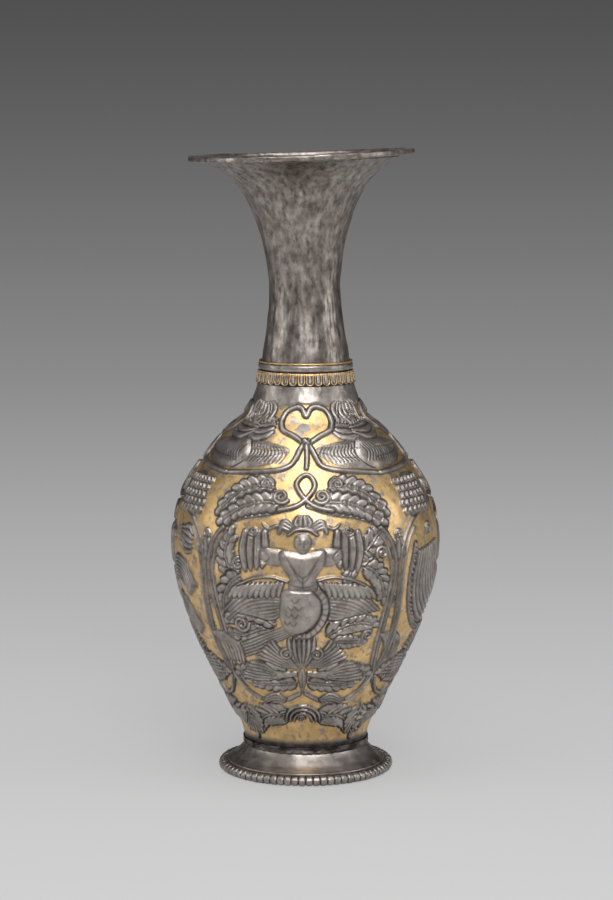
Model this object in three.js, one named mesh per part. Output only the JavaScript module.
// A raised and chased silver vase with a gilded ground, in millimetres, +Z up.
// The origin is the centre of the flat ring that it stands on.
// Each piece is one that a silversmith makes by itself and solders to the next.
import * as THREE from "three";

// Seats: how far a soldered piece lies from what carries it.
const SOLDER_GAP = 0.25;

// Vessel: the bulging body, raised from one sheet, with a closed bottom.
const BODY_WALL = 1.0;
const BODY_BOTTOM_Z = 11.4;
const BODY_BOTTOM_R = 22.5;
const BODY_TOP_Z = 148.4;
const BODY_MOUTH_R = 16.6;
const SHOULDER_R = 17.5;
const SHOULDER_DROP = 4.5;
const BELLY_R = 48.6;
const BELLY_Z = 82.3;

// Neck: a trumpet whose tail plugs into the mouth of the body.
const NECK_WALL = 1.0;
const NECK_BASE_R = 16.15;
const NECK_WAIST_R = 13.0;
const NECK_WAIST_Z = 179.5;
const NECK_MOUTH_R = 35.6;
const NECK_MOUTH_Z = 224.9;
const NECK_TAIL_LENGTH = 7.0;

// Lip: a flat ring laid on the trumpet's mouth.
const LIP_OVERHANG = 5.5;
const LIP_SEAT_WIDTH = 1.7;
const LIP_THICKNESS = 2.1;
const LIP_EDGE_ROUND = 0.4;

// How the old vessel has settled: its lip is bent up to one side, and its neck leans the other way.
const LIP_TILT = 1.6;
const LIP_SAG = 0.3;
const NECK_LEAN = 1.5;
const LEAN_START_Z = 152;

// Collar: a half-round moulding on the foot of the neck, with a fine wire above it.
const COLLAR_Z = 150.1;
const COLLAR_HEIGHT = 2.2;
const COLLAR_DEPTH = 0.9;
const WIRE_THICKNESS = 0.8;

// Petal band: a strip of round-ended tongues round the shoulder of the joint.
const BAND_TOP_Z = 148.5;
const BAND_HEIGHT = 4.6;
const BAND_THICKNESS = 0.45;
const TONGUE_COUNT = 36;
const TONGUE_SWELL = 0.3;
const TONGUE_SCALLOP = 0.7;
const TONGUE_BULGE_HEIGHT = 1.0;
const TONGUE_TOP_SWELL = 0.12;
const TONGUE_STEPS = 4;

// Foot: a spreading skirt with a narrow ledge, on a flat ring, with a beaded wire round it.
const FOOT_WALL = 0.8;
const FOOT_OVERHANG = 0.4;
const BASE_RING_R = 28.6;
const BASE_RING_WIDTH = 2.4;
const BASE_RING_HEIGHT = 3.3;
const SEAM_HEIGHT = 3.2;
const SEAM_THICKNESS = 0.4;
const BEAD_COUNT = 75;
const BEAD_RADIUS = 1.85;
const BEAD_NECK = 0.74;
const BEAD_CLEARANCE = 0.15;
const BEAD_GROOVE_SHARE = 0.2;
const BEAD_STEPS = 3;
const WIRE_FACETS = 6;

// How the outer lines bend between their named places: each pair says what share of the way
// from one place to the next the radius and the height have gone.
const BODY_LOWER_SHARES = [
  [0.073, 0.090],
  [0.253, 0.231],
  [0.483, 0.399],
  [0.709, 0.580],
  [0.900, 0.784],
];
const BODY_UPPER_SHARES = [
  [0.026, 0.226],
  [0.145, 0.394],
  [0.357, 0.555],
  [0.624, 0.716],
  [0.849, 0.830],
  [0.955, 0.930],
];
const NECK_LOWER_SHARES = [
  [0.079, 0.164],
  [0.397, 0.357],
  [0.810, 0.646],
];
const NECK_UPPER_SHARES = [
  [0.040, 0.192],
  [0.102, 0.355],
  [0.195, 0.518],
  [0.323, 0.676],
  [0.487, 0.811],
  [0.726, 0.921],
];
const FOOT_SHARES = [
  [0.169, 0.082],
  [0.462, 0.274],
  [0.754, 0.548],
  [0.969, 0.795],
];

// Facets round the axis.
const BODY_SIDES = 56;
const NECK_SIDES = 44;
const FOOT_SIDES = 56;
const SMALL_RING_SIDES = 44;

const SILVER = { color: 0x77716b, roughness: 0.42, metalness: 1.0 };
const DARK_SILVER = { color: 0x3f3c39, roughness: 0.6, metalness: 0.9 };
const GILT = { color: 0xb08a45, roughness: 0.4, metalness: 1.0 };

const lipOuterR = NECK_MOUTH_R + LIP_OVERHANG;
const lipInnerR = NECK_MOUTH_R - LIP_SEAT_WIDTH;

const vase = new THREE.Group();

// The vessel's own wear: the lip rises by a wave of one turn and sags by a wave of two,
// more the further out a point lies, and the neck leans towards -X with its height.
function settle(geometry) {
  const place = geometry.getAttribute("position");
  for (let i = 0; i < place.count; i++) {
    const x = place.getX(i);
    const y = place.getY(i);
    const z = place.getZ(i);
    const climb = Math.max(0, (z - LEAN_START_Z) / (NECK_MOUTH_Z - LEAN_START_Z));
    const spread = Math.max(0, (Math.hypot(x, y) - NECK_WAIST_R) / (lipOuterR - NECK_WAIST_R));
    const share = z > NECK_WAIST_Z ? spread * spread : 0;
    const turn = Math.atan2(x, -y);
    const rise = LIP_TILT * Math.sin(turn) - LIP_SAG * Math.cos(2 * turn);
    place.setXYZ(i, x - NECK_LEAN * climb ** 1.5, y, z + share * rise);
  }
  geometry.computeVertexNormals();
  return geometry;
}

function addPiece(name, geometry, finish) {
  const mesh = new THREE.Mesh(settle(geometry), new THREE.MeshStandardMaterial(finish));
  mesh.name = name;
  vase.add(mesh);
}

// A profile of [radius, height] points, turned round the Z axis.
function turned(profile, sides) {
  const points = profile.map(([r, z]) => new THREE.Vector2(r, z));
  return new THREE.LatheGeometry(points, sides).rotateX(Math.PI / 2);
}

// Stations on the way from one [radius, height] place to another, by their shares of it.
function stationsBetween([fromR, fromZ], [toR, toZ], shares) {
  return shares.map(([r, z]) => [fromR + (toR - fromR) * r, fromZ + (toZ - fromZ) * z]);
}

// A smooth line through the stations, and every second point of it moved inwards by the wall's
// thickness, because the hidden side of a wall needs fewer facets. steps is an even number.
function wallOf(stations, steps, thickness) {
  const curve = new THREE.SplineCurve(stations.map(([r, z]) => new THREE.Vector2(r, z)));
  const outer = [];
  const inner = [];
  for (let i = 0; i <= steps; i++) {
    const at = curve.getPoint(i / steps);
    const along = curve.getTangent(i / steps);
    outer.push([at.x, at.y]);
    if (i % 2 === 0) {
      inner.push([at.x - along.y * thickness, at.y + along.x * thickness]);
    }
  }
  return { outer, inner };
}

// A ring whose section changes on the way round: section(turn) gives a closed loop of
// [radius, height] points, anticlockwise when radius runs right and height runs up.
function ringOf(section, sides) {
  const loop = section(0).length;
  const place = [];
  const faces = [];
  for (let i = 0; i < sides; i++) {
    const turn = (i / sides) * 2 * Math.PI;
    for (const [r, z] of section(turn)) {
      place.push(r * Math.sin(turn), -r * Math.cos(turn), z);
    }
    for (let j = 0; j < loop; j++) {
      const here = i * loop + j;
      const next = i * loop + ((j + 1) % loop);
      const over = ((i + 1) % sides) * loop + j;
      const far = ((i + 1) % sides) * loop + ((j + 1) % loop);
      faces.push(here, over, next, next, over, far);
    }
  }
  const geometry = new THREE.BufferGeometry();
  geometry.setAttribute("position", new THREE.Float32BufferAttribute(place, 3));
  geometry.setIndex(faces);
  return geometry;
}

// A round or oval wire's section, as a closed loop for ringOf or a lathe.
function oval(centreR, centreZ, halfWidth, halfHeight, points) {
  const loop = [];
  for (let i = 0; i < points; i++) {
    const a = ((i + 0.5) / points) * 2 * Math.PI;
    loop.push([centreR + halfWidth * Math.cos(a), centreZ + halfHeight * Math.sin(a)]);
  }
  return loop;
}

// The body's outer line, from the joint with the foot up to the mouth under the collar.
const bodyBottom = [BODY_BOTTOM_R, BODY_BOTTOM_Z];
const belly = [BELLY_R, BELLY_Z];
const shoulder = [SHOULDER_R, BODY_TOP_Z - SHOULDER_DROP];
const bodyStations = [
  bodyBottom,
  ...stationsBetween(bodyBottom, belly, BODY_LOWER_SHARES),
  belly,
  ...stationsBetween(belly, shoulder, BODY_UPPER_SHARES),
  shoulder,
  [BODY_MOUTH_R, BODY_TOP_Z],
];

function body() {
  const { outer, inner } = wallOf(bodyStations, 22, BODY_WALL);
  const top = inner.length - 1;
  inner[top] = [BODY_MOUTH_R - BODY_WALL, BODY_TOP_Z];
  const hollow = inner.filter(([, z]) => z > BODY_BOTTOM_Z + 2 * BODY_WALL).reverse();
  return turned(
    [
      [0, BODY_BOTTOM_Z],
      ...outer,
      ...hollow,
      [BODY_BOTTOM_R - BODY_WALL, BODY_BOTTOM_Z + BODY_WALL],
      [0, BODY_BOTTOM_Z + BODY_WALL],
    ],
    BODY_SIDES,
  );
}

// The neck's outer line, from its shoulder on the body's edge up to the mouth.
const neckSeatZ = BODY_TOP_Z;
const neckSeat = [NECK_BASE_R, neckSeatZ];
const neckWaist = [NECK_WAIST_R, NECK_WAIST_Z];
const neckMouth = [NECK_MOUTH_R, NECK_MOUTH_Z];
const neckStations = [
  neckSeat,
  ...stationsBetween(neckSeat, neckWaist, NECK_LOWER_SHARES),
  neckWaist,
  ...stationsBetween(neckWaist, neckMouth, NECK_UPPER_SHARES),
  neckMouth,
];

function neck() {
  const { outer, inner } = wallOf(neckStations, 16, NECK_WALL);
  const tailR = BODY_MOUTH_R - BODY_WALL - SOLDER_GAP;
  const tailZ = neckSeatZ - NECK_TAIL_LENGTH;
  const last = inner.length - 1;
  inner[last] = [NECK_MOUTH_R - 2 * NECK_WALL, NECK_MOUTH_Z];
  inner[0] = [tailR - NECK_WALL, neckSeatZ];
  return turned(
    [
      [tailR - NECK_WALL, tailZ],
      [tailR, tailZ],
      [tailR, neckSeatZ],
      ...outer,
      ...inner.reverse(),
      [tailR - NECK_WALL, tailZ],
    ],
    NECK_SIDES,
  );
}

function lip() {
  const low = NECK_MOUTH_Z + SOLDER_GAP;
  const high = low + LIP_THICKNESS;
  return turned(
    [
      [lipInnerR, low],
      [lipOuterR - LIP_EDGE_ROUND, low],
      [lipOuterR, low + LIP_EDGE_ROUND],
      [lipOuterR, high - LIP_EDGE_ROUND],
      [lipOuterR - LIP_EDGE_ROUND, high],
      [lipInnerR + LIP_THICKNESS / 2, high],
      [lipInnerR, low + LIP_THICKNESS / 2],
      [lipInnerR, low],
    ],
    NECK_SIDES,
  );
}

function collar() {
  const seatR = NECK_BASE_R + SOLDER_GAP;
  const halfHeight = COLLAR_HEIGHT / 2;
  return turned(
    [
      [seatR, COLLAR_Z - halfHeight],
      [seatR + COLLAR_DEPTH * 0.6, COLLAR_Z - halfHeight * 0.8],
      [seatR + COLLAR_DEPTH, COLLAR_Z - halfHeight * 0.25],
      [seatR + COLLAR_DEPTH, COLLAR_Z + halfHeight * 0.25],
      [seatR + COLLAR_DEPTH * 0.6, COLLAR_Z + halfHeight * 0.8],
      [seatR, COLLAR_Z + halfHeight],
      [seatR, COLLAR_Z - halfHeight],
    ],
    SMALL_RING_SIDES,
  );
}

function collarWire() {
  const half = WIRE_THICKNESS / 2;
  const z = COLLAR_Z + COLLAR_HEIGHT / 2 + half + SOLDER_GAP / 2;
  return ringOf(() => oval(NECK_BASE_R + SOLDER_GAP + half, z, half, half, WIRE_FACETS), SMALL_RING_SIDES);
}

// The strip follows the body's cone. Each tongue swells at its middle and is round at its lower end.
function petalBand() {
  const low = BAND_TOP_Z - BAND_HEIGHT;
  const topR = BODY_MOUTH_R + SOLDER_GAP;
  const lowR = SHOULDER_R + SOLDER_GAP;
  return ringOf((turn) => {
    const across = Math.abs(Math.sin((turn * TONGUE_COUNT) / 2));
    const swell = TONGUE_SWELL * across;
    const topSwell = TONGUE_TOP_SWELL * across;
    const edge = low + TONGUE_SCALLOP * (1 - across);
    const lean = ((topR - lowR) / BAND_HEIGHT) * (edge - low);
    return [
      [lowR + lean, edge],
      [lowR + lean + BAND_THICKNESS, edge],
      [lowR + lean + BAND_THICKNESS + swell, edge + TONGUE_BULGE_HEIGHT],
      [topR + BAND_THICKNESS + topSwell, BAND_TOP_Z],
      [topR, BAND_TOP_Z],
    ];
  }, TONGUE_COUNT * TONGUE_STEPS);
}

// The skirt's outer line runs down from the joint and out to the ledge that lies on the base ring.
const ledgeZ = BASE_RING_HEIGHT + FOOT_WALL;
const footLedge = [BASE_RING_R + FOOT_OVERHANG, ledgeZ];
const footStations = [
  footLedge,
  ...stationsBetween(footLedge, bodyBottom, FOOT_SHARES),
  bodyBottom,
];

function foot() {
  const { outer, inner } = wallOf(footStations, 8, FOOT_WALL);
  const last = inner.length - 1;
  inner[last] = [BODY_BOTTOM_R - FOOT_WALL, BODY_BOTTOM_Z];
  const skirt = inner.filter(([, z]) => z > BASE_RING_HEIGHT + FOOT_WALL / 2).reverse();
  return turned(
    [
      [BASE_RING_R - BASE_RING_WIDTH, BASE_RING_HEIGHT],
      [BASE_RING_R + FOOT_OVERHANG, BASE_RING_HEIGHT],
      ...outer,
      ...skirt,
      [BASE_RING_R - BASE_RING_WIDTH, BASE_RING_HEIGHT],
    ],
    FOOT_SIDES,
  );
}

// The fillet of solder that runs round the joint of body and foot.
function solderSeam() {
  const { outer: skirt } = wallOf(footStations, 16, FOOT_WALL);
  const { outer: wall } = wallOf(bodyStations, 60, BODY_WALL);
  const low = BODY_BOTTOM_Z - SEAM_HEIGHT / 2;
  const high = BODY_BOTTOM_Z + SEAM_HEIGHT / 2;
  const line = [
    ...skirt.filter(([, z]) => z >= low),
    ...wall.filter(([, z]) => z > BODY_BOTTOM_Z && z <= high),
  ];
  const inside = line.map(([r, z]) => [r + SOLDER_GAP, z]);
  const outside = line.map(([r, z], i) => {
    const full = i > 0 && i < line.length - 1 ? SEAM_THICKNESS : SEAM_THICKNESS / 2;
    return [r + SOLDER_GAP + full, z];
  });
  return turned([...outside, ...inside.reverse(), outside[0]], FOOT_SIDES);
}

function baseRing() {
  return turned(
    [
      [BASE_RING_R - BASE_RING_WIDTH, 0],
      [BASE_RING_R, 0],
      [BASE_RING_R, BASE_RING_HEIGHT],
      [BASE_RING_R - BASE_RING_WIDTH, BASE_RING_HEIGHT],
      [BASE_RING_R - BASE_RING_WIDTH, 0],
    ],
    FOOT_SIDES,
  );
}

// The beaded wire: an unbroken wire rolled into short barrels with grooves between them.
function beadedWire() {
  const centreR = BASE_RING_R + SOLDER_GAP + BEAD_RADIUS;
  const centreZ = BEAD_CLEARANCE + BEAD_RADIUS;
  return ringOf((turn) => {
    const phase = ((turn * BEAD_COUNT) / (2 * Math.PI)) % 1;
    const fromGroove = Math.min(phase, 1 - phase);
    const size = fromGroove > BEAD_GROOVE_SHARE / 2 ? BEAD_RADIUS : BEAD_RADIUS * BEAD_NECK;
    return oval(centreR, centreZ, size, size, WIRE_FACETS);
  }, BEAD_COUNT * BEAD_STEPS);
}

addPiece("body", body(), SILVER);
addPiece("neck", neck(), SILVER);
addPiece("lip", lip(), SILVER);
addPiece("collar_ring", collar(), SILVER);
addPiece("collar_wire", collarWire(), GILT);
addPiece("petal_band", petalBand(), GILT);
addPiece("foot", foot(), SILVER);
addPiece("solder_seam", solderSeam(), DARK_SILVER);
addPiece("base_ring", baseRing(), SILVER);
addPiece("beaded_wire", beadedWire(), SILVER);

export default vase;
